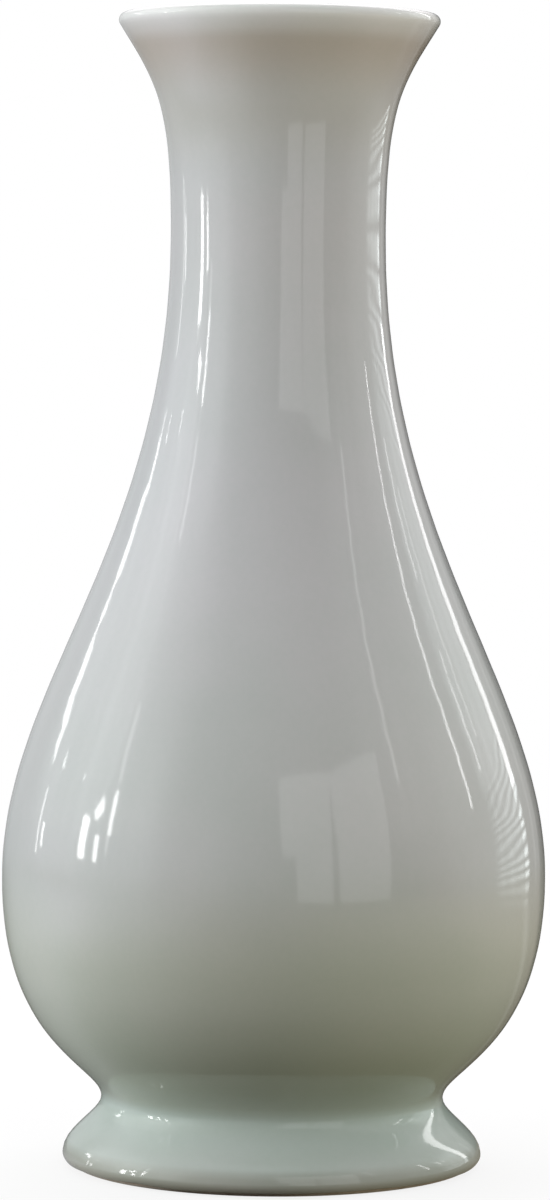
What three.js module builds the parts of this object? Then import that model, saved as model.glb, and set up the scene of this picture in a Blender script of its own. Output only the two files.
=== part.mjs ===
// Pear-shaped ceramic vase with a flared mouth, a slender neck, a full low belly and a splayed hollow foot.
// The clay is thrown in four sections, which are luted to each other with seams of slip.
// Three coats of glaze cover it: outside, inside and in the recess under the foot.
// Millimetres, +Z up, with the origin at the centre of the ring that the vase stands on.

import * as THREE from 'three';

// Outline over the glaze: heights above the table and radii from the axis
const vaseHeight = 200;
const mouthRadius = 27.8;
const mouthFlare = THREE.MathUtils.degToRad(31.5); // lean of the wall just under the lip
const lipRadius = 1.2; // the lip is a full round
const throatDrop = 37.8; // narrowest ring of the neck, below the lip
const throatRadius = 18.6;
const bellyHeight = 50.4; // widest ring of the belly
const bellyRadius = 47.3;
const waistHeight = 11.8; // narrowest ring above the foot
const waistRadius = 29.75;
const footEdgeHeight = 2.4; // widest ring of the foot
const footRadius = 36.45;

// Reach of the curves: how far each ring holds the wall upright, as a share of the rise to the next ring
const mouthReach = { throat: 0.64, lip: 0.32 };
const neckReach = { belly: 0.3, throat: 0.49 };
const bellyReach = { waist: 0.157, belly: 0.775 };
const footReach = { edge: 0.366, waist: 0.319 };

// Walls, coats and seams
const bodyWall = 3.4; // through clay and both coats, from the throat down
const glazeCoat = 0.4;
const glazeBond = 0.01; // clearance between a coat and what it lies on
const slipSeam = 0.6; // thickness of each luted seam
const neckSeamRise = 67.6; // above the seam round the belly

// Floor of the vase and recess of the foot
const floorThickness = 5; // from the top of the foot seam to the glazed floor
const floorCornerRise = 3;
const footWall = 5.45; // from the waist in to the recess
const restRingWidth = 3.4; // flat bare ring that meets the table
const restChamfer = 0.5; // inner edge of that ring
const outerGlazeLine = 1; // bare clay below this height
const recessGlazeLine = 3;

// Facets: steps along each curve and round the axis
const turnSteps = 36;
const bareEdgeSteps = 2;
const glazedEdgeSteps = 2;
const footSteps = 6;
const bellySteps = 9;
const neckSteps = 11;
const mouthSteps = 6;
const lipSteps = 3;
const cornerSteps = 3;

// Levels of the two faces of a seam
const seamAt = (height) => ({ bottom: height - slipSeam / 2, top: height + slipSeam / 2 });
const footSeam = seamAt(waistHeight);
const bellySeam = seamAt(bellyHeight);
const neckSeam = seamAt(bellyHeight + neckSeamRise);

// Levels and depths that follow from the sizes above
const glazeBuild = glazeCoat + glazeBond;
const throatHeight = vaseHeight - throatDrop;
const recessCeiling = footSeam.top;
const floorHeight = recessCeiling + floorThickness;

// A point of a turned profile: its radius and its height
const ring = (radius, height) => new THREE.Vector2(radius, height);

// Lines end to end, with each shared point kept once
const join = (...lines) => lines.flatMap((line, i) => (i === 0 ? line : line.slice(1)));

// Part of a circle, turning anticlockwise in the plane of the profile
function arc(centre, radius, from, to) {
  return new THREE.EllipseCurve(centre.x, centre.y, radius, radius, from, to);
}

// The curve from one ring up to the next, upright at both
function swell(lower, upper, lowerReach, upperReach) {
  const rise = upper.y - lower.y;
  const lowerHandle = ring(lower.x, lower.y + lowerReach * rise);
  const upperHandle = ring(upper.x, upper.y - upperReach * rise);
  return new THREE.CubicBezierCurve(lower, lowerHandle, upperHandle, upper);
}

// The line that lies a constant depth under another, which has its open side on the right
function under(line, depth) {
  const sides = line.slice(1).map((end, i) => {
    const along = end.clone().sub(line[i]).normalize();
    return ring(along.y, -along.x);
  });
  return line.map((point, i) => {
    const before = sides[Math.max(i - 1, 0)];
    const after = sides[Math.min(i, sides.length - 1)];
    const mitre = before.clone().add(after).divideScalar(1 + before.dot(after));
    return point.clone().addScaledVector(mitre, -depth);
  });
}

// The inner face of a wall whose outer face follows a curve
function innerFace(curve, steps, thicknessAt) {
  return curve.getPoints(steps).map((point, i) => {
    const along = curve.getTangent(i / steps);
    return point.clone().addScaledVector(ring(along.y, -along.x), -thicknessAt(point.y));
  });
}

// The stretch of a line between two levels, with end points added where it crosses them
function between(line, low, high) {
  const kept = [];
  line.forEach((point, i) => {
    if (point.y >= low && point.y <= high) kept.push(point);
    if (i === line.length - 1) return;
    const next = line[i + 1];
    const crossed = [low, high].filter((level) => (point.y - level) * (next.y - level) < 0);
    crossed.sort((a, b) => Math.abs(a - point.y) - Math.abs(b - point.y));
    crossed.forEach((level) => {
      const share = (level - point.y) / (next.y - point.y);
      kept.push(ring(THREE.MathUtils.lerp(point.x, next.x, share), level));
    });
  });
  return kept;
}

// A closed profile turned about the vase's axis
function turned(name, profile, material) {
  const isRing = profile[0].x > 0;
  const points = isRing ? [...profile, profile[0]] : profile;
  const geometry = new THREE.LatheGeometry(points, turnSteps).rotateX(Math.PI / 2);
  const mesh = new THREE.Mesh(geometry, material);
  mesh.name = name;
  return mesh;
}

// Curves of the outside, from the foot up to the crest of the lip
const edgeRadius = footEdgeHeight + glazeBuild; // brings the bare clay down to the table
const edgeCentre = ring(footRadius - edgeRadius, footEdgeHeight);
const glazeLineAngle = -Math.asin((footEdgeHeight - outerGlazeLine) / edgeRadius);
const bareEdge = arc(edgeCentre, edgeRadius, -Math.PI / 2, glazeLineAngle);
const glazedEdge = arc(edgeCentre, edgeRadius, glazeLineAngle, 0);

const footEdge = ring(footRadius, footEdgeHeight);
const waist = ring(waistRadius, waistHeight);
const belly = ring(bellyRadius, bellyHeight);
const throat = ring(throatRadius, throatHeight);
const footCurve = swell(footEdge, waist, footReach.edge, footReach.waist);
const bellyCurve = swell(waist, belly, bellyReach.waist, bellyReach.belly);
const neckCurve = swell(belly, throat, neckReach.belly, neckReach.throat);

const lipCentre = ring(mouthRadius - lipRadius, vaseHeight - lipRadius);
const lipOutside = arc(lipCentre, lipRadius, -mouthFlare, Math.PI / 2);
const lipInside = arc(lipCentre, lipRadius, Math.PI / 2, Math.PI - mouthFlare);
const mouthTop = lipOutside.getPoint(0);
const mouthRise = mouthTop.y - throat.y;
const flareAlong = ring(Math.sin(mouthFlare), Math.cos(mouthFlare));
const mouthCurve = new THREE.CubicBezierCurve(
  throat,
  ring(throat.x, throat.y + mouthReach.throat * mouthRise),
  mouthTop.clone().addScaledVector(flareAlong, -mouthReach.lip * mouthRise),
  mouthTop,
);

// The wall thins from the throat up to the lip
function wallAt(height) {
  const share = THREE.MathUtils.smoothstep(height, throat.y, mouthTop.y);
  return THREE.MathUtils.lerp(bodyWall, 2 * lipRadius, share);
}

// Open surface of the outside, from the glaze line up
const outside = join(
  glazedEdge.getPoints(glazedEdgeSteps),
  footCurve.getPoints(footSteps),
  bellyCurve.getPoints(bellySteps),
  neckCurve.getPoints(neckSteps),
  mouthCurve.getPoints(mouthSteps),
  lipOutside.getPoints(lipSteps),
);

// Open surface of the inside, from the crest of the lip down to the middle of the floor
const innerWall = join(
  innerFace(bellyCurve, bellySteps, wallAt),
  innerFace(neckCurve, neckSteps, wallAt),
  innerFace(mouthCurve, mouthSteps, wallAt),
).reverse();
const standingWall = between(innerWall, floorHeight + floorCornerRise, vaseHeight);
const [wallAbove, wallFoot] = standingWall.slice(-2);
const wallLean = (wallAbove.x - wallFoot.x) / (wallAbove.y - wallFoot.y);
const cornerPoint = ring(wallFoot.x - wallLean * floorCornerRise, floorHeight);
const floorEdge = ring(cornerPoint.x - cornerPoint.distanceTo(wallFoot), floorHeight);
const corner = new THREE.QuadraticBezierCurve(wallFoot, cornerPoint, floorEdge);
const inside = join(
  lipInside.getPoints(lipSteps),
  standingWall,
  corner.getPoints(cornerSteps),
  [floorEdge, ring(0, floorHeight)],
);

// The whole skin, carried on a coat's depth below the table so that the bare clay there ends at the table
const restOuterRadius = edgeCentre.x;
const restInnerRadius = restOuterRadius - restRingWidth;
const rest = [ring(restInnerRadius, -glazeBuild), ring(restOuterRadius, -glazeBuild)];
const skin = join(rest, bareEdge.getPoints(bareEdgeSteps), outside, inside);
const glazeStart = rest.length - 1 + bareEdgeSteps;
const crest = glazeStart + outside.length - 1;
const coatBack = under(skin, glazeCoat);
const clay = under(skin, glazeBuild);
const clayOutside = clay.slice(0, crest + 1);
const clayInside = clay.slice(crest + 1);

// Clay of the recess under the foot: ceiling, then wall
const recess = [
  ring(0, recessCeiling),
  ring(waistRadius - footWall, recessCeiling),
  ring(restInnerRadius - restChamfer, restChamfer),
];
const recessWall = recess.slice(1);

// The stretch of the pot's wall between two levels
const section = (low, high) => [...between(clayOutside, low, high), ...between(clayInside, low, high)];

const porcelain = { color: 0xe9e4d8, roughness: 0.85, metalness: 0 };
const slip = { color: 0xe2dccd, roughness: 0.9, metalness: 0 };
const celadon = { color: 0xc6cfc9, roughness: 0.1, metalness: 0 };
const finish = (look) => new THREE.MeshStandardMaterial(look);

function makeMouthAndNeck() {
  return turned('mouth_and_neck', section(neckSeam.top, vaseHeight), finish(porcelain));
}

function makeNeckSlipSeam() {
  return turned('neck_slip_seam', section(neckSeam.bottom, neckSeam.top), finish(slip));
}

function makeUpperBelly() {
  return turned('upper_belly', section(bellySeam.top, neckSeam.bottom), finish(porcelain));
}

function makeBellySlipSeam() {
  return turned('belly_slip_seam', section(bellySeam.bottom, bellySeam.top), finish(slip));
}

function makeLowerBelly() {
  const profile = [
    ring(0, footSeam.top),
    ...between(clayOutside, footSeam.top, bellySeam.bottom),
    ...between(clayInside, footSeam.top, bellySeam.bottom),
  ];
  return turned('lower_belly', profile, finish(porcelain));
}

// The stretch of the foot's wall between two levels
const footSection = (low, high) => [...between(clayOutside, low, high), ...between(recessWall, low, high)];

function makeFootSlipSeam() {
  return turned('foot_slip_seam', footSection(footSeam.bottom, footSeam.top), finish(slip));
}

function makeFootRing() {
  return turned('foot_ring', footSection(0, footSeam.bottom), finish(porcelain));
}

function makeOuterGlaze() {
  const profile = [
    ...skin.slice(glazeStart, crest + 1),
    ...coatBack.slice(glazeStart, crest + 1).reverse(),
  ];
  return turned('outer_glaze', profile, finish(celadon));
}

// The two large coats meet on the crest of the lip, a bond's clearance apart
function makeInnerGlaze() {
  const parted = (point) => ring(point.x - glazeBond, point.y);
  const profile = [
    ...coatBack.slice(crest + 1).reverse(),
    parted(coatBack[crest]),
    parted(skin[crest]),
    ...skin.slice(crest + 1),
  ];
  return turned('inner_glaze', profile, finish(celadon));
}

function makeBaseGlaze() {
  const coated = between(recess, recessGlazeLine, recessCeiling);
  const profile = [...under(coated, -glazeBuild), ...under(coated, -glazeBond).reverse()];
  return turned('base_glaze', profile, finish(celadon));
}

const vase = new THREE.Group();
vase.add(
  makeMouthAndNeck(),
  makeNeckSlipSeam(),
  makeUpperBelly(),
  makeBellySlipSeam(),
  makeLowerBelly(),
  makeFootSlipSeam(),
  makeFootRing(),
  makeOuterGlaze(),
  makeInnerGlaze(),
  makeBaseGlaze(),
);

export default vase;
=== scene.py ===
import math

import bmesh
import bpy
from mathutils import Matrix, Quaternion, Vector, geometry, noise


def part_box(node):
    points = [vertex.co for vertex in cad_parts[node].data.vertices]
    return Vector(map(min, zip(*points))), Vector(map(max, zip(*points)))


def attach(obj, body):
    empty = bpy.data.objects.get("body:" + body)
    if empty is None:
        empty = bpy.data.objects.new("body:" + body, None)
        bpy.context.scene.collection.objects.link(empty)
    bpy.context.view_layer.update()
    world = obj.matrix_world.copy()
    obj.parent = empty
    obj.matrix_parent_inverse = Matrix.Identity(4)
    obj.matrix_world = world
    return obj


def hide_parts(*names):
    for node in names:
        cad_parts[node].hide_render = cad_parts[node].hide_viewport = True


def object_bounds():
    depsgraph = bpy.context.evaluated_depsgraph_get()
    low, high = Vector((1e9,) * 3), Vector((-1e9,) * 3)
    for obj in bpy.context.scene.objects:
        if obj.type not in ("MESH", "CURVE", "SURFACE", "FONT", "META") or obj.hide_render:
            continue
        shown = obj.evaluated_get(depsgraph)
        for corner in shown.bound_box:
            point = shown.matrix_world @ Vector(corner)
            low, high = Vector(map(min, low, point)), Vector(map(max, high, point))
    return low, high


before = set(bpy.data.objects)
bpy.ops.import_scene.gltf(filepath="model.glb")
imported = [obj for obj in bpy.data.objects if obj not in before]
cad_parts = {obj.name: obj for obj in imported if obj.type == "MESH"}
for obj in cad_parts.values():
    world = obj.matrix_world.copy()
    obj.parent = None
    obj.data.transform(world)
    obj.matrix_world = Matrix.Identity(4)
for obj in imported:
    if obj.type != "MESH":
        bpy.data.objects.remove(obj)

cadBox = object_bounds()
mm = 0.001  # the scene is in metres
print("frame:", ", ".join(sorted(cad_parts)))


# camera, at the photo's angle
cameraView = {
    "place": (0, -0.84, 0.142),
    "aim": (-0.0001, 0, 0.0986),
    "lens": 145.1,  # mm, on the 36 mm long side of the picture
    "roll": 0.42,  # degrees, the photo leans a little
}


def addCamera(view):
    camera = bpy.data.objects.new("photoCamera", bpy.data.cameras.new("photoCamera"))
    bpy.context.scene.collection.objects.link(camera)
    camera.data.lens = view["lens"]
    camera.location = view["place"]
    towards = Vector(view["aim"]) - Vector(view["place"])
    turn = towards.to_track_quat("-Z", "Y")
    roll = Quaternion((0, 0, 1), math.radians(view["roll"]))
    camera.rotation_euler = (turn @ roll).to_euler()
    bpy.context.scene.camera = camera


addCamera(cameraView)
print("camera: in place")


# shape of the vase, with what the frame gives read from the frame
coat = {"glaze": 0.4 * mm, "bond": 0.01 * mm}  # a coat of glaze, and its clearance to the clay
glazeBuild = coat["glaze"] + coat["bond"]


def levelOf(node):
    low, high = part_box(node)
    return (low.z + high.z) / 2


def radiusOf(node):
    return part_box(node)[1].x


shape = {
    "height": cadBox[1].z,
    "mouthRadius": 27.8 * mm,
    "mouthFlare": math.radians(31.5),  # lean of the wall under the lip
    "lipRadius": 1.2 * mm,
    "throatRadius": 18.6 * mm,
    "throatHeight": cadBox[1].z - 37.8 * mm,
    "bellyRadius": cadBox[1].x,
    "bellyHeight": levelOf("belly_slip_seam"),
    "waistRadius": radiusOf("foot_slip_seam") + glazeBuild,
    "waistHeight": levelOf("foot_slip_seam"),
    "footRadius": radiusOf("foot_ring") + glazeBuild,
    "footEdgeHeight": 2.4 * mm,  # widest ring of the foot
    "glazeLine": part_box("outer_glaze")[0].z,
    "bodyWall": 3.4 * mm,
    "floorHeight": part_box("inner_glaze")[0].z + coat["glaze"],
    "floorCorner": 3 * mm,
    "footWall": 5.45 * mm,  # at the waist, from the recess to the outside
    "recessHeight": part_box("lower_belly")[0].z,
    "restWidth": 3.4 * mm,  # flat bare ring on the table
    "restChamfer": 0.5 * mm,
}

# how far a curve keeps its direction at its low and its high end, as shares of its rise
reach = {
    "foot": (0.366, 0.319),
    "belly": (0.157, 0.775),
    "neck": (0.3, 0.49),
    "mouth": (0.64, 0.32),
}

# how finely the outline is drawn
fineness = {
    "pointGap": 1.1 * mm,  # between the points of a curve
    "leastPoints": 6,  # on a short curve
    "hiddenStep": 3,  # a hidden face keeps every third point
    "footEdge": 8,  # points on the bare part of the rolled edge, and on the glazed part
    "lipOutside": 12,
    "lipInside": 9,
    "restRound": 6,
    "coatEnd": 6,  # steps round the end of a coat
    "turnSteps": 180,  # steps round the wheel
}


def ring(radius, height):
    return Vector((radius, 0, height))


def drawBezier(start, startHandle, endHandle, end, gap=fineness["pointGap"]):
    span = (end - start).length
    count = max(fineness["leastPoints"], round(span / gap) + 1)
    return geometry.interpolate_bezier(start, startHandle, endHandle, end, count)


def drawStraight(start, end, gap=fineness["pointGap"]):
    return drawBezier(start, start, end, end, gap)


def drawSwell(lower, upper, reaches):  # upright at both rings
    rise = Vector((0, 0, upper.z - lower.z))
    return drawBezier(lower, lower + rise * reaches[0], upper - rise * reaches[1], upper)


def drawArc(centre, radius, start, end, count):
    turns = [start + (end - start) * i / (count - 1) for i in range(count)]
    return [centre + ring(math.cos(turn), math.sin(turn)) * radius for turn in turns]


def joinLines(*lines):  # shared end points are kept once
    joined = list(lines[0])
    for line in lines[1:]:
        joined += line[1:]
    return joined


def thinOut(line):  # fewer points, for faces that stay hidden
    return line[:-1:fineness["hiddenStep"]] + line[-1:]


def roundEnd(back, front, away):  # half round from the back of a coat to its front
    middle = (back + front) / 2
    half = (front - back) / 2
    steps = fineness["coatEnd"]
    turns = [math.pi * (1 - i / steps) for i in range(1, steps)]
    return [middle + half * math.cos(turn) + away * half.length * math.sin(turn) for turn in turns]


def openSides(line):  # unit vectors off the open side, on the right of travel
    sides = []
    for i in range(len(line)):
        along = line[min(i + 1, len(line) - 1)] - line[max(i - 1, 0)]
        sides.append(ring(along.z, -along.x).normalized())
    return sides


def sinkLine(line, depth):
    return [point - side * depth for point, side in zip(line, openSides(line))]


def cutLine(line, low, high):  # the stretch between two levels
    kept = []
    for start, end in zip(line, line[1:]):
        if low <= start.z <= high:
            kept.append(start)
        levels = [level for level in (low, high) if (start.z - level) * (end.z - level) < 0]
        for level in sorted(levels, key=lambda level: abs(level - start.z)):
            kept.append(start.lerp(end, (level - start.z) / (end.z - start.z)))
    if low <= line[-1].z <= high:
        kept.append(line[-1])
    return kept


# outside of the glaze, from the table up to the crest of the lip
edgeRadius = shape["footEdgeHeight"] + glazeBuild
edgeCentre = ring(shape["footRadius"] - edgeRadius, shape["footEdgeHeight"])
lineTurn = -math.asin((shape["footEdgeHeight"] - shape["glazeLine"]) / edgeRadius)
footEdge = ring(shape["footRadius"], shape["footEdgeHeight"])
waist = ring(shape["waistRadius"], shape["waistHeight"])
belly = ring(shape["bellyRadius"], shape["bellyHeight"])
throat = ring(shape["throatRadius"], shape["throatHeight"])
lipCentre = ring(shape["mouthRadius"] - shape["lipRadius"], shape["height"] - shape["lipRadius"])
lipOutside = drawArc(lipCentre, shape["lipRadius"], -shape["mouthFlare"], math.pi / 2,
                     fineness["lipOutside"])
mouthTop = lipOutside[0]
mouthRise = mouthTop.z - throat.z
flareAlong = ring(math.sin(shape["mouthFlare"]), math.cos(shape["mouthFlare"]))
throatHandle = throat + Vector((0, 0, mouthRise * reach["mouth"][0]))
lipHandle = mouthTop - flareAlong * mouthRise * reach["mouth"][1]

bareEdge = drawArc(edgeCentre, edgeRadius, -math.pi / 2, lineTurn, fineness["footEdge"])
glazedEdge = drawArc(edgeCentre, edgeRadius, lineTurn, 0, fineness["footEdge"])
footCurve = drawSwell(footEdge, waist, reach["foot"])
bellyCurve = drawSwell(waist, belly, reach["belly"])
neckCurve = drawSwell(belly, throat, reach["neck"])
mouthCurve = drawBezier(throat, throatHandle, lipHandle, mouthTop)
bodyCurves = (footCurve, bellyCurve, neckCurve, mouthCurve)
outside = joinLines(glazedEdge, *bodyCurves, lipOutside)
crest = outside[-1]


def wallAt(height):  # thins from the throat up to the lip
    share = min(1, max(0, (height - throat.z) / mouthRise))
    share = share * share * (3 - 2 * share)
    return shape["bodyWall"] + (2 * shape["lipRadius"] - shape["bodyWall"]) * share


# inside of the glaze, from the crest down to the middle of the floor
lipInside = drawArc(lipCentre, shape["lipRadius"], math.pi / 2, math.pi - shape["mouthFlare"],
                    fineness["lipInside"])
wallCurve = joinLines(bellyCurve, neckCurve, mouthCurve)
wallSides = openSides(wallCurve)
wallSides[-1] = ring(math.cos(shape["mouthFlare"]), -math.sin(shape["mouthFlare"]))
innerWall = [point - side * wallAt(point.z) for point, side in zip(wallCurve, wallSides)]
cornerTop = shape["floorHeight"] + shape["floorCorner"]
standingWall = cutLine(innerWall[::-1], cornerTop, shape["height"])
wallFoot = standingWall[-1]
lean = (standingWall[-2] - wallFoot).normalized()
cornerPoint = wallFoot - lean * (shape["floorCorner"] / lean.z)
floorEdge = cornerPoint - ring((cornerPoint - wallFoot).length, 0)
corner = drawBezier(wallFoot, cornerPoint, cornerPoint, floorEdge)
floorLine = drawStraight(floorEdge, ring(0, shape["floorHeight"]))
inside = joinLines(lipInside, standingWall, corner, floorLine)

# clay under the coats, and the recess of the foot
hiddenOutside = joinLines(bareEdge, glazedEdge, *[thinOut(curve) for curve in bodyCurves], lipOutside)
hiddenInside = joinLines(lipInside, thinOut(standingWall), corner, thinOut(floorLine))
clayOutside = sinkLine(hiddenOutside, glazeBuild)
clayInside = sinkLine(hiddenInside, glazeBuild)
clayOutside[-1] = crest - ring(0, glazeBuild)
clayInside[0] = clayOutside[-1]
restInner = edgeCentre.x - shape["restWidth"]
restCentre = ring(restInner, shape["restChamfer"])
restRound = drawArc(restCentre, shape["restChamfer"], math.pi, math.pi * 1.5, fineness["restRound"])
recessTop = ring(shape["waistRadius"] - shape["footWall"], shape["recessHeight"])
recessWall = drawStraight(recessTop, restRound[0])
footInside = joinLines(recessWall, restRound)
print("outline:", len(outside), "points outside,", len(inside), "inside")


# turning an outline on the wheel
throwing = {
    "roundness": 0.05 * mm,  # how far the wall strays from a true circle
    "roundnessWave": 34 * mm,
    "stillMiddle": 1 * mm,  # the middle of a floor stays true
    "axisWidth": 0.01 * mm,  # an outline that starts within this starts and ends on the axis
    "mergeWidth": 0.001 * mm,
    "sharpEdge": math.radians(35),  # a sharper turn of the surface is not shaded smooth
}


def strayFrom(point):  # slow waves that every layer of the wall shares
    wave = noise.noise(point / throwing["roundnessWave"])
    outward = Vector((point.x, point.y, 0))
    if outward.length > throwing["stillMiddle"]:
        point = point + outward.normalized() * wave * throwing["roundness"]
    return point


def turnOnWheel(name, profile, shapeUp=None):
    bm = bmesh.new()
    isRing = profile[0].x > throwing["axisWidth"]
    points = [bm.verts.new(point) for point in profile]
    edges = [bm.edges.new(pair) for pair in zip(points, points[1:])]
    if isRing:
        edges.append(bm.edges.new((points[-1], points[0])))
    bmesh.ops.spin(bm, geom=points + edges, cent=(0, 0, 0), axis=(0, 0, 1),
                   angle=math.tau, steps=fineness["turnSteps"], use_merge=True)
    bmesh.ops.remove_doubles(bm, verts=bm.verts, dist=throwing["mergeWidth"])  # closes the poles
    bmesh.ops.recalc_face_normals(bm, faces=bm.faces)
    if shapeUp:
        bm.normal_update()
        for vert in bm.verts:
            vert.co = shapeUp(vert)
    for vert in bm.verts:
        vert.co = strayFrom(vert.co)
    bm.normal_update()
    for face in bm.faces:
        face.smooth = True
    for edge in bm.edges:
        edge.smooth = edge.calc_face_angle(0) < throwing["sharpEdge"]
    mesh = bpy.data.meshes.new(name)
    bm.to_mesh(mesh)
    bm.free()
    piece = bpy.data.objects.new(name, mesh)
    bpy.context.scene.collection.objects.link(piece)
    return piece


def setOnBody(piece, node, material):
    piece.data.materials.append(material)
    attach(piece, "root")
    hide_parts(node)
    print("piece:", piece.name, len(piece.data.polygons), "faces")


# node helpers
nodeSpacing = 200


def addNode(tree, kind, place, values=None, **settings):
    made = tree.nodes.new(kind)
    made.location = (place[0] * nodeSpacing, place[1] * nodeSpacing)
    for key, value in settings.items():
        setattr(made, key, value)
    for key, value in (values or {}).items():
        made.inputs[key].default_value = value
    return made


def overRange(start, end, low=0, high=1):  # the values of a Map Range node
    return {"From Min": start, "From Max": end, "To Min": low, "To Max": high}


def newGroup(name, inputs, outputs):
    tree = bpy.data.node_groups.new(name, "ShaderNodeTree")
    for label, kind, value in inputs:
        socket = tree.interface.new_socket(name=label, in_out="INPUT", socket_type=kind)
        socket.default_value = value
    for label, kind in outputs:
        tree.interface.new_socket(name=label, in_out="OUTPUT", socket_type=kind)
    return tree, addNode(tree, "NodeGroupInput", (-5, 0)), addNode(tree, "NodeGroupOutput", (5, 0))


def placeGroup(tree, group, place, values):
    return addNode(tree, "ShaderNodeGroup", place, values, node_tree=group)


def newMaterial(name):
    material = bpy.data.materials.new(name)
    material.use_nodes = True
    tree = material.node_tree
    tree.nodes.clear()
    output = addNode(tree, "ShaderNodeOutputMaterial", (6, 0))
    return material, tree, output


def fillRamp(node, tones, low, high, interpolation):
    ramp = node.color_ramp
    ramp.interpolation = interpolation
    while len(ramp.elements) < len(tones):
        ramp.elements.new(0.5)
    for stop, (place, colour) in zip(ramp.elements, sorted(tones.items())):
        stop.position = (place - low) / (high - low)
        stop.color = (*colour, 1)


# shared effects
effectFields = {
    "noiseSpread": (0.3, 0.7),  # most of a noise field lies between these
    "clouds": {"Detail": 3, "Roughness": 0.5},
    "ripple": {"Detail": 1, "Roughness": 0.4},
    "grain": {"Detail": 4, "Roughness": 0.65},
    "grog": {"Detail": 2, "Roughness": 0.5},
    "grainShare": 0.6,  # how much of the grain is added to the grog
    "grainSpread": (0.55, 1.05),
    "speckCore": 0.5,  # full part of a speck, as a share of its size
}


def groupGlazeClouds():  # slow clouds of depth, and the fine milk of bubbles in the glaze
    tree, given, result = newGroup(
        "glazeClouds",
        [("Color", "NodeSocketColor", (1, 1, 1, 1)), ("Shade", "NodeSocketColor", (1, 1, 1, 1)),
         ("Cloud", "NodeSocketFloat", 0.5), ("Cloud Scale", "NodeSocketFloat", 30),
         ("Milk", "NodeSocketFloat", 0.1), ("Milk Scale", "NodeSocketFloat", 900)],
        [("Color", "NodeSocketColor"), ("Depth", "NodeSocketFloat")])
    coords = addNode(tree, "ShaderNodeTexCoord", (-5, -2))
    link = tree.links.new
    amounts = []
    for row, label in enumerate(("Cloud", "Milk")):
        field = addNode(tree, "ShaderNodeTexNoise", (-3, -row), effectFields["clouds"])
        spread = addNode(tree, "ShaderNodeMapRange", (-1, -row), overRange(*effectFields["noiseSpread"]),
                         interpolation_type="SMOOTHSTEP")
        amount = addNode(tree, "ShaderNodeMath", (1, -row), operation="MULTIPLY")
        link(coords.outputs["Object"], field.inputs["Vector"])
        link(given.outputs[label + " Scale"], field.inputs["Scale"])
        link(field.outputs["Fac"], spread.inputs["Value"])
        link(spread.outputs["Result"], amount.inputs[0])
        link(given.outputs[label], amount.inputs[1])
        amounts.append(amount)
    both = addNode(tree, "ShaderNodeMath", (2, 0), operation="ADD", use_clamp=True)
    blend = addNode(tree, "ShaderNodeMix", (3, 0), data_type="RGBA", blend_type="MULTIPLY")
    link(amounts[0].outputs[0], both.inputs[0])
    link(amounts[1].outputs[0], both.inputs[1])
    link(both.outputs[0], blend.inputs["Factor"])
    link(given.outputs["Color"], blend.inputs["A"])
    link(given.outputs["Shade"], blend.inputs["B"])
    link(blend.outputs["Result"], result.inputs["Color"])
    link(both.outputs[0], result.inputs["Depth"])
    return tree


def groupKilnSpecks():  # sparse dots: iron specks and pinholes
    tree, given, result = newGroup(
        "kilnSpecks",
        [("Spacing", "NodeSocketFloat", 100), ("Size", "NodeSocketFloat", 0.05),
         ("Share", "NodeSocketFloat", 0.1)],
        [("Mask", "NodeSocketFloat")])
    coords = addNode(tree, "ShaderNodeTexCoord", (-5, -2))
    cells = addNode(tree, "ShaderNodeTexVoronoi", (-3, -1), {"Randomness": 1})
    pick = addNode(tree, "ShaderNodeSeparateColor", (-1, -2))
    chosen = addNode(tree, "ShaderNodeMath", (1, -2), operation="LESS_THAN")
    core = addNode(tree, "ShaderNodeMath", (-1, 1), {1: effectFields["speckCore"]}, operation="MULTIPLY")
    dot = addNode(tree, "ShaderNodeMapRange", (1, 0), {"To Min": 1, "To Max": 0},
                  interpolation_type="SMOOTHSTEP")
    both = addNode(tree, "ShaderNodeMath", (3, 0), operation="MULTIPLY")
    link = tree.links.new
    link(coords.outputs["Object"], cells.inputs["Vector"])
    link(given.outputs["Spacing"], cells.inputs["Scale"])
    link(cells.outputs["Color"], pick.inputs[0])
    link(pick.outputs[0], chosen.inputs[0])
    link(given.outputs["Share"], chosen.inputs[1])
    link(given.outputs["Size"], core.inputs[0])
    link(cells.outputs["Distance"], dot.inputs["Value"])
    link(core.outputs[0], dot.inputs["From Min"])
    link(given.outputs["Size"], dot.inputs["From Max"])
    link(chosen.outputs[0], both.inputs[0])
    link(dot.outputs["Result"], both.inputs[1])
    link(both.outputs[0], result.inputs["Mask"])
    return tree


def groupGlazeRipple():  # settled waves of the melted glaze, long and fine, in metres
    tree, given, result = newGroup(
        "glazeRipple",
        [("Long Scale", "NodeSocketFloat", 45), ("Long Height", "NodeSocketFloat", 0.1 * mm),
         ("Fine Scale", "NodeSocketFloat", 330), ("Fine Height", "NodeSocketFloat", 0.01 * mm)],
        [("Height", "NodeSocketFloat")])
    coords = addNode(tree, "ShaderNodeTexCoord", (-5, -2))
    link = tree.links.new
    heights = []
    for row, label in enumerate(("Long", "Fine")):
        wave = addNode(tree, "ShaderNodeTexNoise", (-2, -row), effectFields["ripple"])
        height = addNode(tree, "ShaderNodeMath", (0, -row), operation="MULTIPLY")
        link(coords.outputs["Object"], wave.inputs["Vector"])
        link(given.outputs[label + " Scale"], wave.inputs["Scale"])
        link(wave.outputs["Fac"], height.inputs[0])
        link(given.outputs[label + " Height"], height.inputs[1])
        heights.append(height)
    total = addNode(tree, "ShaderNodeMath", (2, 0), operation="ADD")
    link(heights[0].outputs[0], total.inputs[0])
    link(heights[1].outputs[0], total.inputs[1])
    link(total.outputs[0], result.inputs["Height"])
    return tree


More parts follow.
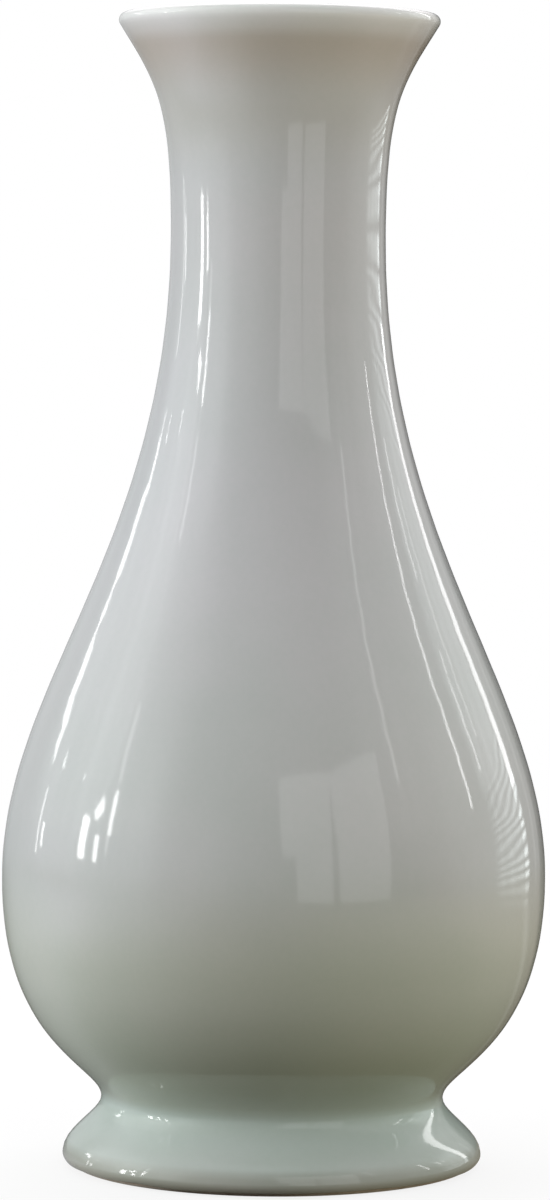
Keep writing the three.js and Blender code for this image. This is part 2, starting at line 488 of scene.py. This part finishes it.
def groupClayGrain():  # fine grain of fired clay, with coarser grog
    tree, given, result = newGroup(
        "clayGrain",
        [("Grain Scale", "NodeSocketFloat", 2600), ("Grog Scale", "NodeSocketFloat", 520),
         ("Pale", "NodeSocketColor", (1, 1, 1, 1)), ("Dark", "NodeSocketColor", (1, 1, 1, 1))],
        [("Color", "NodeSocketColor"), ("Height", "NodeSocketFloat")])
    coords = addNode(tree, "ShaderNodeTexCoord", (-5, -2))
    grain = addNode(tree, "ShaderNodeTexNoise", (-3, 0), effectFields["grain"])
    grog = addNode(tree, "ShaderNodeTexNoise", (-3, -2), effectFields["grog"])
    mixed = addNode(tree, "ShaderNodeMath", (-1, -1), {1: effectFields["grainShare"]},
                    operation="MULTIPLY_ADD")
    spread = addNode(tree, "ShaderNodeMapRange", (1, 0), overRange(*effectFields["grainSpread"]))
    blend = addNode(tree, "ShaderNodeMix", (3, 0), data_type="RGBA")
    link = tree.links.new
    link(coords.outputs["Object"], grain.inputs["Vector"])
    link(coords.outputs["Object"], grog.inputs["Vector"])
    link(given.outputs["Grain Scale"], grain.inputs["Scale"])
    link(given.outputs["Grog Scale"], grog.inputs["Scale"])
    link(grain.outputs["Fac"], mixed.inputs[0])
    link(grog.outputs["Fac"], mixed.inputs[2])
    link(mixed.outputs[0], spread.inputs["Value"])
    link(spread.outputs["Result"], blend.inputs["Factor"])
    link(given.outputs["Dark"], blend.inputs["A"])
    link(given.outputs["Pale"], blend.inputs["B"])
    link(blend.outputs["Result"], result.inputs["Color"])
    link(mixed.outputs[0], result.inputs["Height"])
    return tree


glazeClouds = groupGlazeClouds()
kilnSpecks = groupKilnSpecks()
glazeRipple = groupGlazeRipple()
clayGrain = groupClayGrain()
print("effects:", len(bpy.data.node_groups), "node groups")


# glaze
def makeGlaze(look):
    material, tree, output = newMaterial(look["name"])
    link = tree.links.new
    shader = addNode(tree, "ShaderNodeBsdfPrincipled", (4, 0), {"IOR": look["ior"]})
    coords = addNode(tree, "ShaderNodeTexCoord", (-6, 0))
    split = addNode(tree, "ShaderNodeSeparateXYZ", (-5, 0))
    rise = addNode(tree, "ShaderNodeMapRange", (-4, 0), overRange(0, shape["height"]))
    tone = addNode(tree, "ShaderNodeValToRGB", (-3, 0))
    fillRamp(tone, look["tones"], 0, shape["height"] / mm, "EASE")
    clouds = placeGroup(tree, glazeClouds, (-1, 0), look["clouds"])
    specks = placeGroup(tree, kilnSpecks, (-1, -1), look["specks"])
    dotted = addNode(tree, "ShaderNodeMix", (1, 0), {"B": look["speckColour"]}, data_type="RGBA")
    gloss = addNode(tree, "ShaderNodeMapRange", (1, -1), look["gloss"])
    dulled = addNode(tree, "ShaderNodeMath", (2, -1), {1: look["cloudDull"]}, operation="MULTIPLY_ADD")
    ripple = placeGroup(tree, glazeRipple, (-1, -2), look["ripple"])
    sunk = addNode(tree, "ShaderNodeMath", (1, -2), {1: look["speckSink"]}, operation="MULTIPLY_ADD")
    bump = addNode(tree, "ShaderNodeBump", (3, -2), {"Strength": 1, "Distance": 1})
    link(coords.outputs["Object"], split.inputs[0])
    link(split.outputs["Z"], rise.inputs["Value"])
    link(rise.outputs["Result"], tone.inputs["Fac"])
    link(tone.outputs["Color"], clouds.inputs["Color"])
    link(specks.outputs["Mask"], dotted.inputs["Factor"])
    link(clouds.outputs["Color"], dotted.inputs["A"])
    link(dotted.outputs["Result"], shader.inputs["Base Color"])
    link(specks.outputs["Mask"], gloss.inputs["Value"])
    link(clouds.outputs["Depth"], dulled.inputs[0])
    link(gloss.outputs["Result"], dulled.inputs[2])
    link(dulled.outputs[0], shader.inputs["Roughness"])
    link(specks.outputs["Mask"], sunk.inputs[0])
    link(ripple.outputs["Height"], sunk.inputs[2])
    link(sunk.outputs[0], bump.inputs["Height"])
    link(bump.outputs["Normal"], shader.inputs["Normal"])
    link(shader.outputs[0], output.inputs["Surface"])
    return material


outerLook = {
    "name": "outerCeladon",
    "ior": 1.5,
    "tones": {  # height in mm: paler where it is thin, greener where it pools, with painted shade and painted light as marked below
        # painted shade along the lower edge of the foot, by the floor
        0.5: (0.44, 0.42, 0.34),
        3: (0.49, 0.51, 0.45),
        # paler and bluer up the slope of the foot, partly painted light on a face turned upwards
        5: (0.61, 0.67, 0.625),
        8.5: (0.625, 0.7, 0.655),
        11.5: (0.59, 0.68, 0.615),
        # greener where the glaze pools at the waist, and darker and more olive up the low belly, partly as
        # painted shade
        14.5: (0.485, 0.53, 0.44),
        18: (0.455, 0.496, 0.386),
        36: (0.54, 0.565, 0.478),
        60: (0.608, 0.618, 0.603),
        120: (0.635, 0.637, 0.642),
        170: (0.64, 0.638, 0.63),
        # painted shade, warm and dark, under the flare of the mouth
        184: (0.62, 0.602, 0.563),
        194: (0.575, 0.515, 0.445),
        # paler where the glaze thins over the crest, and whiter still as a painted highlight along the lip
        197.2: (0.74, 0.715, 0.67),
        198.5: (0.94, 0.93, 0.9),
        200: (0.98, 0.975, 0.96),
    },
    "clouds": {
        "Shade": (0.86, 0.92, 0.88, 1),
        "Cloud": 0.5,
        "Cloud Scale": 26,
        "Milk": 0.12,
        "Milk Scale": 900,
    },
    "specks": {"Spacing": 115, "Size": 0.05, "Share": 0.02},
    "speckColour": (0.2, 0.19, 0.15, 1),
    "speckSink": -0.05 * mm,
    "gloss": {"To Min": 0.05, "To Max": 0.3},  # roughness of clear glaze, and of a speck
    "cloudDull": 0.04,  # added roughness where the glaze is cloudy
    "ripple": {"Long Scale": 45, "Long Height": 0.12 * mm, "Fine Scale": 330, "Fine Height": 0.006 * mm},
}
innerLook = dict(
    outerLook,
    name="innerCeladon",
    tones={
        16: (0.45, 0.55, 0.48),
        26: (0.52, 0.6, 0.53),
        80: (0.6, 0.64, 0.59),
        190: (0.64, 0.645, 0.6),
        200: (0.76, 0.75, 0.71),
    },
    ripple=dict(outerLook["ripple"], **{"Long Height": 0.2 * mm}),
)
baseLook = dict(
    outerLook,
    name="baseCeladon",
    tones={2: (0.66, 0.66, 0.6), 5: (0.6, 0.65, 0.59), 10: (0.54, 0.62, 0.55), 12: (0.5, 0.6, 0.52)},
    specks={"Spacing": 160, "Size": 0.06, "Share": 0.08},
)


# fired clay
def makeClay(look):
    material, tree, output = newMaterial(look["name"])
    link = tree.links.new
    shader = addNode(tree, "ShaderNodeBsdfPrincipled", (4, 0),
                     {"IOR": look["ior"], "Roughness": look["rough"]})
    coords = addNode(tree, "ShaderNodeTexCoord", (-6, -2))
    split = addNode(tree, "ShaderNodeSeparateXYZ", (-5, -2))
    grain = placeGroup(tree, clayGrain, (-2, 0), look["grain"])
    flash = addNode(tree, "ShaderNodeMapRange", (-2, -2), look["flash"], interpolation_type="SMOOTHSTEP")
    toasted = addNode(tree, "ShaderNodeMix", (1, 0), {"B": look["flashColour"]}, data_type="RGBA")
    bump = addNode(tree, "ShaderNodeBump", (2, -2), {"Strength": 1, "Distance": look["grainDepth"]})
    link(coords.outputs["Object"], split.inputs[0])
    link(split.outputs["Z"], flash.inputs["Value"])
    link(flash.outputs["Result"], toasted.inputs["Factor"])
    link(grain.outputs["Color"], toasted.inputs["A"])
    link(grain.outputs["Height"], bump.inputs["Height"])
    link(toasted.outputs["Result"], shader.inputs["Base Color"])
    link(bump.outputs["Normal"], shader.inputs["Normal"])
    link(shader.outputs[0], output.inputs["Surface"])
    return material


clayLook = {
    "name": "biscuitPorcelain",
    "ior": 1.45,
    "rough": 0.85,
    "grain": {"Pale": (0.72, 0.66, 0.57, 1), "Dark": (0.56, 0.49, 0.4, 1)},
    "grainDepth": 0.05 * mm,
    "flash": overRange(0.1 * mm, 1.2 * mm, 0, 0.7),  # kiln flash, towards the glaze line
    "flashColour": (0.5, 0.34, 0.21, 1),
}
slipLook = dict(
    clayLook,
    name="lutingSlip",
    rough=0.9,
    grain={"Pale": (0.66, 0.6, 0.5, 1), "Dark": (0.5, 0.44, 0.35, 1), "Grog Scale": 900},
    flash=overRange(0, shape["height"], 0.05, 0.1),
)

outerCeladon = makeGlaze(outerLook)
innerCeladon = makeGlaze(innerLook)
baseCeladon = makeGlaze(baseLook)
biscuitPorcelain = makeClay(clayLook)
lutingSlip = makeClay(slipLook)
print("materials:", len(bpy.data.materials))


# outer coat
outerCoat = {
    "ringHeight": 0.01 * mm,  # throwing rings that still show in the reflections
    "ringPitch": 7.5 * mm,
    "fadeUnderLip": 8 * mm,
    "beadHeight": 0.12 * mm,  # rolled end of the glaze above the bare rim
    "beadWidth": 0.7 * mm,
    "lineWave": 0.35 * mm,  # how far the glaze line wanders up and down the rim
    "lineWaves": 3.5,
}


def outerRelief(point, side):
    fade = min(1, max(0, (shape["height"] - point.z) / outerCoat["fadeUnderLip"]))
    lift = outerCoat["ringHeight"] * fade * math.sin(math.tau * point.z / outerCoat["ringPitch"])
    above = (point.z - shape["glazeLine"]) / outerCoat["beadWidth"]
    lift += outerCoat["beadHeight"] * math.exp(-((above - 1) ** 2))
    return point + side * lift


def waveGlazeLine(vert):  # slides the lower end of the coat along the rolled edge of the foot
    point = vert.co
    radius = math.hypot(point.x, point.y)
    spoke = ring(radius, point.z) - edgeCentre
    turn = math.atan2(spoke.z, spoke.x)
    if turn >= 0:
        return point
    spot = Vector((point.x, point.y, 0)) / radius * outerCoat["lineWaves"]
    turn += noise.noise(spot) * outerCoat["lineWave"] / edgeRadius * turn / lineTurn
    moved = edgeCentre + ring(math.cos(turn), math.sin(turn)) * spoke.length
    return Vector((point.x / radius * moved.x, point.y / radius * moved.x, moved.z))


outerFace = [outerRelief(point, side) for point, side in zip(outside, openSides(outside))]
outerFace[-1] = crest
outerBack = sinkLine(hiddenOutside, coat["glaze"])[len(bareEdge) - 1:]
outerBack[-1] = crest - ring(0, coat["glaze"])
outerEnd = roundEnd(outerBack[0], outerFace[0], (outside[0] - outside[1]).normalized())
outerGlaze = turnOnWheel("outer_glaze_coat", outerFace + outerBack[::-1] + outerEnd, waveGlazeLine)
setOnBody(outerGlaze, "outer_glaze", outerCeladon)

# inner coat, with the spiral that the fingers leave
innerCoat = {
    "spiralHeight": 0.16 * mm,
    "spiralPitch": 7 * mm,
    "fadeUnderLip": 30 * mm,
    "fadeFromMiddle": 8 * mm,
    "stillMiddle": 1 * mm,
}


def fingerSpiral(vert):
    point = vert.co
    normal = vert.normal
    radius = math.hypot(point.x, point.y)
    if radius < innerCoat["stillMiddle"]:
        return point
    facesIn = normal.z - (normal.x * point.x + normal.y * point.y) / radius
    if facesIn < 0:  # the side on the clay stays true
        return point
    belowLip = (shape["height"] - point.z) / innerCoat["fadeUnderLip"]
    fade = min(1, belowLip, radius / innerCoat["fadeFromMiddle"])
    turns = (point.z - radius) / innerCoat["spiralPitch"] + math.atan2(point.y, point.x) / math.tau
    return point + normal * innerCoat["spiralHeight"] * fade * fade * math.cos(math.tau * turns)


innerBack = sinkLine(hiddenInside, coat["glaze"])
innerBack[0] = crest - ring(coat["bond"], coat["glaze"])
innerFace = [crest - ring(coat["bond"], 0)] + inside[1:]
innerGlaze = turnOnWheel("inner_glaze_coat", innerBack[::-1] + innerFace, fingerSpiral)
setOnBody(innerGlaze, "inner_glaze", innerCeladon)

# coat in the recess of the foot, over the rings that the turning tool left
baseCoat = {
    "line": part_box("base_glaze")[0].z,
    "ringHeight": 0.06 * mm,
    "ringPitch": 3.2 * mm,
    "pointGap": 0.45 * mm,
}
recessMiddle = ring(0, recessTop.z)
recessCeiling = drawStraight(recessMiddle, recessTop, baseCoat["pointGap"])
baseRun = joinLines(recessCeiling, cutLine(recessWall, baseCoat["line"], recessTop.z))
baseFace = sinkLine(baseRun, -glazeBuild)
baseBack = sinkLine(baseRun, -coat["bond"])
for point in baseFace[1:len(recessCeiling) - 2]:  # the middle and the corner stay true
    point.z -= baseCoat["ringHeight"] * math.sin(math.tau * point.x / baseCoat["ringPitch"])
baseEnd = roundEnd(baseBack[-1], baseFace[-1], (baseRun[-1] - baseRun[-2]).normalized())
baseGlaze = turnOnWheel("base_glaze_coat", baseFace + baseEnd[::-1] + baseBack[::-1])
setOnBody(baseGlaze, "base_glaze", baseCeladon)


# clay sections and the seams of slip between them
def wallBetween(low, high):
    return cutLine(clayOutside, low, high) + cutLine(clayInside, low, high)


def footBetween(low, high):
    return cutLine(clayOutside, low, high) + cutLine(footInside, low, high)


neckLow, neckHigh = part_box("neck_slip_seam")
bellyLow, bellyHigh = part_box("belly_slip_seam")
footLow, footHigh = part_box("foot_slip_seam")
sections = {
    "mouth_and_neck": ("mouth_and_neck_clay", wallBetween(neckHigh.z, shape["height"])),
    "upper_belly": ("upper_belly_clay", wallBetween(bellyHigh.z, neckLow.z)),
    "lower_belly": ("lower_belly_clay", [ring(0, footHigh.z)] + wallBetween(footHigh.z, bellyLow.z)),
    "foot_ring": ("foot_ring_clay", footBetween(0, footLow.z)),
}
seams = {
    "neck_slip_seam": ("neck_seam_slip", wallBetween(neckLow.z, neckHigh.z)),
    "belly_slip_seam": ("belly_seam_slip", wallBetween(bellyLow.z, bellyHigh.z)),
    "foot_slip_seam": ("foot_seam_slip", footBetween(footLow.z, footHigh.z)),
}
for node, (name, profile) in sections.items():
    setOnBody(turnOnWheel(name, profile), node, biscuitPorcelain)
for node, (name, profile) in seams.items():
    setOnBody(turnOnWheel(name, profile), node, lutingSlip)


# bearings of a direction, in radians: azimuth from the camera, to the right, and elevation
def addAzimuth(tree, source):
    split = addNode(tree, "ShaderNodeSeparateXYZ", (-6, -6))
    front = addNode(tree, "ShaderNodeMath", (-5, -6), {1: -1}, operation="MULTIPLY")
    azimuth = addNode(tree, "ShaderNodeMath", (-4, -6), operation="ARCTAN2")
    link = tree.links.new
    link(source, split.inputs[0])
    link(split.outputs["Y"], front.inputs[0])
    link(split.outputs["X"], azimuth.inputs[0])
    link(front.outputs[0], azimuth.inputs[1])
    return azimuth.outputs[0]


def addElevation(tree, source):
    split = addNode(tree, "ShaderNodeSeparateXYZ", (-6, -7))
    elevation = addNode(tree, "ShaderNodeMath", (-4, -7), operation="ARCSINE")
    tree.links.new(source, split.inputs[0])
    tree.links.new(split.outputs["Z"], elevation.inputs[0])
    return elevation.outputs[0]


# floor: pale to the eye, while to the glaze it is a glowing table of painted light and shade, which the
# glaze mirrors and which lights the vase from below
floorLook = {
    "radius": 1,
    "segments": 96,
    "sink": 0.02 * mm,  # clear of the ring that stands on it
    "floorFade": (0.25, 0.58),  # from the middle of the vase, out to nothing
    "tableFade": (0.25, 0.8),
    "pale": (1, 1, 1, 1),
    "glow": 0.84,
    "shadow": (0.16, 0.16, 0.16, 1),
    "tableGlowTones": {  # painted light and shade by azimuth from the camera, to the right, in degrees: bright to the left, dark in front and behind
        -180: (0.07, 0.06, 0.05),
        -165: (0.2, 0.2, 0.19),
        -150: (0.2, 0.2, 0.19),
        -120: (0.6, 0.6, 0.68),
        -90: (1.55, 1.56, 1.82),
        -50: (0.9, 0.9, 0.97),
        -24: (0.1, 0.08, 0.055),
        0: (0.06, 0.035, 0.015),
        24: (0.49, 0.43, 0.29),
        90: (0.88, 0.79, 0.66),
        123: (0.51, 0.45, 0.38),
        128: (0.71, 0.66, 0.6),
        133: (0.34, 0.29, 0.25),
        145: (0.29, 0.245, 0.21),
        151: (0.07, 0.06, 0.05),
        180: (0.07, 0.06, 0.05),
    },
    "tableNear": (0.26, 0.26, 0.24, 1),  # what is left of it in the shade of the foot
    "tableShade": (0.04, 0.22),  # from the middle of the vase, out to full light
    "tableUnder": (0.7, 0.7, 0.68, 1),  # painted light: a glow under the foot that lights it for views from below
}


def addPaleFloor(tree, look, far):  # what the camera sees, and clear from below
    fade = addNode(tree, "ShaderNodeMapRange", (-3, 0), overRange(*look["floorFade"]),
                   interpolation_type="SMOOTHSTEP")
    below = addNode(tree, "ShaderNodeNewGeometry", (-3, 2))
    clear = addNode(tree, "ShaderNodeMath", (0, 1), operation="MAXIMUM")
    glow = addNode(tree, "ShaderNodeEmission", (-2, -1), {"Color": look["pale"], "Strength": look["glow"]})
    lit = addNode(tree, "ShaderNodeBsdfDiffuse", (-2, -2), {"Color": look["shadow"]})
    pale = addNode(tree, "ShaderNodeAddShader", (0, -1))
    gone = addNode(tree, "ShaderNodeBsdfTransparent", (1, -2))
    shown = addNode(tree, "ShaderNodeMixShader", (3, 0))
    link = tree.links.new
    link(far, fade.inputs["Value"])
    link(below.outputs["Backfacing"], clear.inputs[0])
    link(fade.outputs["Result"], clear.inputs[1])
    link(glow.outputs[0], pale.inputs[0])
    link(lit.outputs[0], pale.inputs[1])
    link(clear.outputs[0], shown.inputs[0])
    link(pale.outputs[0], shown.inputs[1])
    link(gone.outputs[0], shown.inputs[2])
    return shown.outputs[0]


def addGlowingTable(tree, look, spot, far):  # a glowing sheet of painted light and shade, which the glaze mirrors and which lights the vase
    across = addNode(tree, "ShaderNodeMapRange", (-3, -4), overRange(-math.pi, math.pi))
    tone = addNode(tree, "ShaderNodeValToRGB", (-2, -4))
    fillRamp(tone, look["tableGlowTones"], -180, 180, "LINEAR")
    near = addNode(tree, "ShaderNodeMapRange", (-3, -5), overRange(*look["tableShade"], 1, 0))
    shaded = addNode(tree, "ShaderNodeMix", (0, -4), {"B": look["tableNear"]}, data_type="RGBA",
                     blend_type="MULTIPLY")
    under = addNode(tree, "ShaderNodeMath", (-3, -7), {1: edgeCentre.x}, operation="LESS_THAN")
    filled = addNode(tree, "ShaderNodeMix", (1, -5), {"B": look["tableUnder"]}, data_type="RGBA")
    table = addNode(tree, "ShaderNodeEmission", (2, -4))
    fade = addNode(tree, "ShaderNodeMapRange", (-3, -6), overRange(*look["tableFade"]),
                   interpolation_type="SMOOTHSTEP")
    gone = addNode(tree, "ShaderNodeBsdfTransparent", (2, -6))
    mirrored = addNode(tree, "ShaderNodeMixShader", (3, -3))
    link = tree.links.new
    link(addAzimuth(tree, spot), across.inputs["Value"])
    link(across.outputs["Result"], tone.inputs["Fac"])
    link(far, near.inputs["Value"])
    link(far, under.inputs[0])
    link(far, fade.inputs["Value"])
    link(near.outputs["Result"], shaded.inputs["Factor"])
    link(tone.outputs["Color"], shaded.inputs["A"])
    link(under.outputs[0], filled.inputs["Factor"])
    link(shaded.outputs["Result"], filled.inputs["A"])
    link(filled.outputs["Result"], table.inputs["Color"])
    link(fade.outputs["Result"], mirrored.inputs[0])
    link(table.outputs[0], mirrored.inputs[1])
    link(gone.outputs[0], mirrored.inputs[2])
    return mirrored.outputs[0]


def makeFloor(look):
    material, tree, output = newMaterial("paleFloor")
    coords = addNode(tree, "ShaderNodeTexCoord", (-6, 0))
    far = addNode(tree, "ShaderNodeVectorMath", (-5, 0), operation="LENGTH")
    path = addNode(tree, "ShaderNodeLightPath", (0, 3))
    both = addNode(tree, "ShaderNodeMixShader", (5, 0))
    link = tree.links.new
    link(coords.outputs["Object"], far.inputs[0])
    link(path.outputs["Is Camera Ray"], both.inputs[0])
    link(addGlowingTable(tree, look, coords.outputs["Object"], far.outputs["Value"]), both.inputs[1])
    link(addPaleFloor(tree, look, far.outputs["Value"]), both.inputs[2])
    link(both.outputs[0], output.inputs["Surface"])
    return material


def addFloor(look):
    bm = bmesh.new()
    sunk = Matrix.Translation((0, 0, -look["sink"]))
    bmesh.ops.create_circle(bm, cap_ends=True, segments=look["segments"], radius=look["radius"],
                            matrix=sunk)
    mesh = bpy.data.meshes.new("floor")
    bm.to_mesh(mesh)
    bm.free()
    mesh.materials.append(makeFloor(look))
    floor = bpy.data.objects.new("floor", mesh)
    bpy.context.scene.collection.objects.link(floor)


addFloor(floorLook)
print("floor: in place")


# soft light all round: azimuth from the camera, to the right, and elevation, in degrees
def directionTo(azimuth, elevation):
    turn = math.radians(azimuth)
    lift = math.radians(elevation)
    return Vector((math.sin(turn) * math.cos(lift), -math.cos(turn) * math.cos(lift), math.sin(lift)))


dome = {
    "base": (0.246, 0.244, 0.247, 1),
    "window": (0.92, 1, 1),
    "ceiling": (1, 0.95, 0.98),
    "lobes": {  # tint, azimuth, elevation, spread in degrees, strength
        "leftLow": ("window", -75, 12, 34, 1.05),
        "leftHigh": ("ceiling", -75, 34, 34, 0.7),
        "leftBackLow": ("window", -105, 21, 32, 0.86),
        "leftBackHigh": ("ceiling", -105, 34, 34, 0.42),
        "leftFarLow": ("window", -165, 14, 26, 0.22),
        "frontLeft": ("ceiling", -45, 6, 34, 0.34),
        "frontTop": ("window", 0, 75, 36, 0.45),
        "rightLow": ("window", 105, 6, 34, 0.45),
        "rightHigh": ("ceiling", 75, 34, 34, 0.56),
        "rightBackHigh": ("ceiling", 135, 34, 34, 0.43),
        "backHigh": ("ceiling", 180, 48, 40, 2.2),
    },
    # tint, sides and their softness, low end and its softness, high end and its softness, strength
    "panes": {
        "rightUpper": ("window", (107, 132), 6, 12, 3, 27, 10, 0.75),
        "rightBlind": ("window", (110, 134), 6, -8, 2, 12, 3, 1.6),
        "rightBlindEdge": ("window", (133.2, 137.8), 1, -8, 2, 7, 3, 3),
    },
    "slats": {
        "panes": ("rightBlind", "rightBlindEdge"),
        "pitch": 1.6,  # degrees of elevation
        "gap": 1,  # share of the light that is lost between two slats
    },
    "folds": {"scale": 13, "detail": 2, "low": 0.88, "high": 1.12},  # upright streaks, as of a curtain
    "flag": {"sides": (153, 156), "ends": (10, 18)},  # dark gap that draws the right contour
}


def addDome(look):
    world = bpy.data.worlds.new("softDome")
    bpy.context.scene.world = world
    world.use_nodes = True
    tree = world.node_tree
    tree.nodes.clear()
    link = tree.links.new
    output = addNode(tree, "ShaderNodeOutputWorld", (6, 0))
    both = addNode(tree, "ShaderNodeMixShader", (4, 0))
    path = addNode(tree, "ShaderNodeLightPath", (2, 2))
    white = addNode(tree, "ShaderNodeBackground", (2, -2), {"Color": (1, 1, 1, 1)})
    soft = addNode(tree, "ShaderNodeBackground", (2, 0))
    coords = addNode(tree, "ShaderNodeTexCoord", (-6, 0))
    azimuth = addAzimuth(tree, coords.outputs["Generated"])
    elevation = addElevation(tree, coords.outputs["Generated"])

    def lobeTowards(direction, spread, strength):
        near = addNode(tree, "ShaderNodeVectorMath", (-4, 0), {1: direction}, operation="DOT_PRODUCT")
        lobe = addNode(tree, "ShaderNodeMapRange", (-2, 0),
                       overRange(math.cos(math.radians(spread)), 1, 0, strength),
                       interpolation_type="SMOOTHSTEP")
        link(coords.outputs["Generated"], near.inputs[0])
        link(near.outputs["Value"], lobe.inputs["Value"])
        return lobe.outputs["Result"]

    def ramped(source, start, end, low, high):
        ramp = addNode(tree, "ShaderNodeMapRange", (-3, -3),
                       overRange(math.radians(start), math.radians(end), low, high),
                       interpolation_type="SMOOTHSTEP")
        link(source, ramp.inputs["Value"])
        return ramp.outputs["Result"]

    def times(*values):
        product = values[0]
        for value in values[1:]:
            step = addNode(tree, "ShaderNodeMath", (-1, -3), operation="MULTIPLY")
            link(product, step.inputs[0])
            link(value, step.inputs[1])
            product = step.outputs[0]
        return product

    def softEdge(source, place, softness, low, high):
        return ramped(source, place - softness / 2, place + softness / 2, low, high)

    def paneOver(sides, sideSoft, low, lowSoft, high, highSoft, strength):
        return times(softEdge(azimuth, sides[0], sideSoft, 0, strength),
                     softEdge(azimuth, sides[1], sideSoft, 1, 0),
                     softEdge(elevation, low, lowSoft, 0, 1),
                     softEdge(elevation, high, highSoft, 1, 0))

    def slatsAcross(pitch, gap):
        waveRate = math.tau / math.radians(pitch)  # one wave for each slat
        turns = addNode(tree, "ShaderNodeMath", (-3, -5), {1: waveRate}, operation="MULTIPLY")
        wave = addNode(tree, "ShaderNodeMath", (-2, -5), operation="SINE")
        slat = addNode(tree, "ShaderNodeMapRange", (-1, -5), overRange(-1, 1, 1 - gap))
        link(elevation, turns.inputs[0])
        link(turns.outputs[0], wave.inputs[0])
        link(wave.outputs[0], slat.inputs["Value"])
        return slat.outputs["Result"]

    def foldsAround(scale, detail, low, high):
        fold = addNode(tree, "ShaderNodeTexNoise", (-2, -6), {"Scale": scale, "Detail": detail},
                       noise_dimensions="1D")
        depth = addNode(tree, "ShaderNodeMapRange", (-1, -6),
                        overRange(*effectFields["noiseSpread"], low, high))
        link(azimuth, fold.inputs["W"])
        link(fold.outputs["Fac"], depth.inputs["Value"])
        return depth.outputs["Result"]

    shares = []
    for tint, side, lift, spread, strength in look["lobes"].values():
        shares.append((look[tint], lobeTowards(directionTo(side, lift), spread, strength)))
    for name, (tint, *pane) in look["panes"].items():
        share = paneOver(*pane)
        if name in look["slats"]["panes"]:
            share = times(share, slatsAcross(look["slats"]["pitch"], look["slats"]["gap"]))
        shares.append((look[tint], share))
    total = addNode(tree, "ShaderNodeRGB", (-2, 1))
    total.outputs[0].default_value = look["base"]
    for row, (tint, share) in enumerate(shares):
        added = addNode(tree, "ShaderNodeVectorMath", (0, -row), {1: tint}, operation="MULTIPLY_ADD")
        link(share, added.inputs[0])
        link(total.outputs[0], added.inputs[2])
        total = added
    flagSides = ramped(azimuth, *look["flag"]["sides"], 0, 1)
    flagEnds = ramped(elevation, *look["flag"]["ends"], 1, 0)
    unflagged = addNode(tree, "ShaderNodeMath", (0, 2), {0: 1}, operation="SUBTRACT")
    shaded = addNode(tree, "ShaderNodeVectorMath", (1, 0), operation="SCALE")
    link(times(flagSides, flagEnds), unflagged.inputs[1])
    link(times(unflagged.outputs[0], foldsAround(**look["folds"])), shaded.inputs["Scale"])
    link(total.outputs[0], shaded.inputs[0])
    link(shaded.outputs[0], soft.inputs["Color"])
    link(path.outputs["Is Camera Ray"], both.inputs[0])
    link(soft.outputs[0], both.inputs[1])
    link(white.outputs[0], both.inputs[2])
    link(both.outputs[0], output.inputs["Surface"])


addDome(dome)

# window panes and strip lights: azimuth and elevation of the middle, width, height and lean in degrees,
# distance from the spot on the belly that mirrors the light to the camera, radiance
strips = {
    "frontPaneLeft": (14.2, 21.5, 22, 23, 0, 0.55, 1.1),
    "frontPaneLeftLow": (17.2, 2.2, 16, 15.5, 0, 0.55, 1.1),
    "frontPaneRight": (38.8, 13.7, 23.5, 38.5, 0, 0.55, 1.05),
    "leftStripNear": (-75.4, 14.3, 1.7, 10, 0, 6, 14),
    "leftStripNearLow": (-76, 7.2, 1.4, 4.2, 0, 6, 3),
    "leftStripNearTop": (-76.7, 26, 1.8, 9.5, -10, 6, 2.2),
    "leftStripMiddle": (-81.6, 6, 1.9, 5.2, 0, 1.8, 15),
    "leftStripLeaning": (-83.2, 14.4, 2.2, 4.6, 52, 6, 14),
    "leftStripWide": (-89.5, 7.9, 3.7, 9.2, 0, 1.8, 16),
    "leftStripFar": (-121, 4.6, 1.1, 9, 0, 6, 4.5),
    "leftStripFarShort": (-117.2, 3.5, 1.5, 4, 0, 6, 7),
    "leftPatchBack": (-124.4, 14.1, 3, 3.8, 0, 6, 5),
    "leftPatchFar": (-128, 16.2, 4.4, 3.8, 0, 6, 5),
    "leftDotBack": (-114.2, 14.7, 1.4, 0.7, 0, 6, 9),
    "leftDotMiddle": (-97.8, 17.1, 1, 0.9, 0, 6, 8),
    "rightStripFront": (60.2, 32, 1.2, 14, 0, 6, 2),
    "rightStripThin": (97.8, 21, 1.2, 17, 0, 6, 8),
    "rightStripShort": (110.5, 19.5, 1.1, 8, 0, 6, 4),
    "rightStripSide": (116, 20, 1.1, 5.5, 0, 6, 2),
    "rightStripBack": (135.5, 25.5, 4.6, 39, 0, 6, 3.6),
    "rightStripEdge": (147, 5, 2.5, 26, 0, 6, 0.25),
}


def addStrip(name, azimuth, elevation, width, height, lean, distance, radiance):
    light = bpy.data.lights.new(name, "AREA")
    light.shape = "RECTANGLE"
    light.size = 2 * distance * math.tan(math.radians(width / 2))
    light.size_y = 2 * distance * math.tan(math.radians(height / 2))
    light.energy = radiance * math.pi * light.size * light.size_y
    strip = bpy.data.objects.new(name, light)
    bpy.context.scene.collection.objects.link(strip)
    away = directionTo(azimuth, elevation)
    leaning = Quaternion((0, 0, 1), -math.radians(lean))
    spot = directionTo(azimuth / 2, 0) * shape["bellyRadius"] + ring(0, shape["bellyHeight"])
    strip.location = spot + away * distance
    strip.rotation_euler = (away.to_track_quat("Z", "Y") @ leaning).to_euler()
    strip.visible_camera = False


for name, strip in strips.items():
    addStrip(name, *strip)
bpy.context.scene.view_settings.view_transform = "Standard"
print("light:", len(dome["lobes"]), "lobes,", len(dome["panes"]), "panes and", len(strips), "strips")
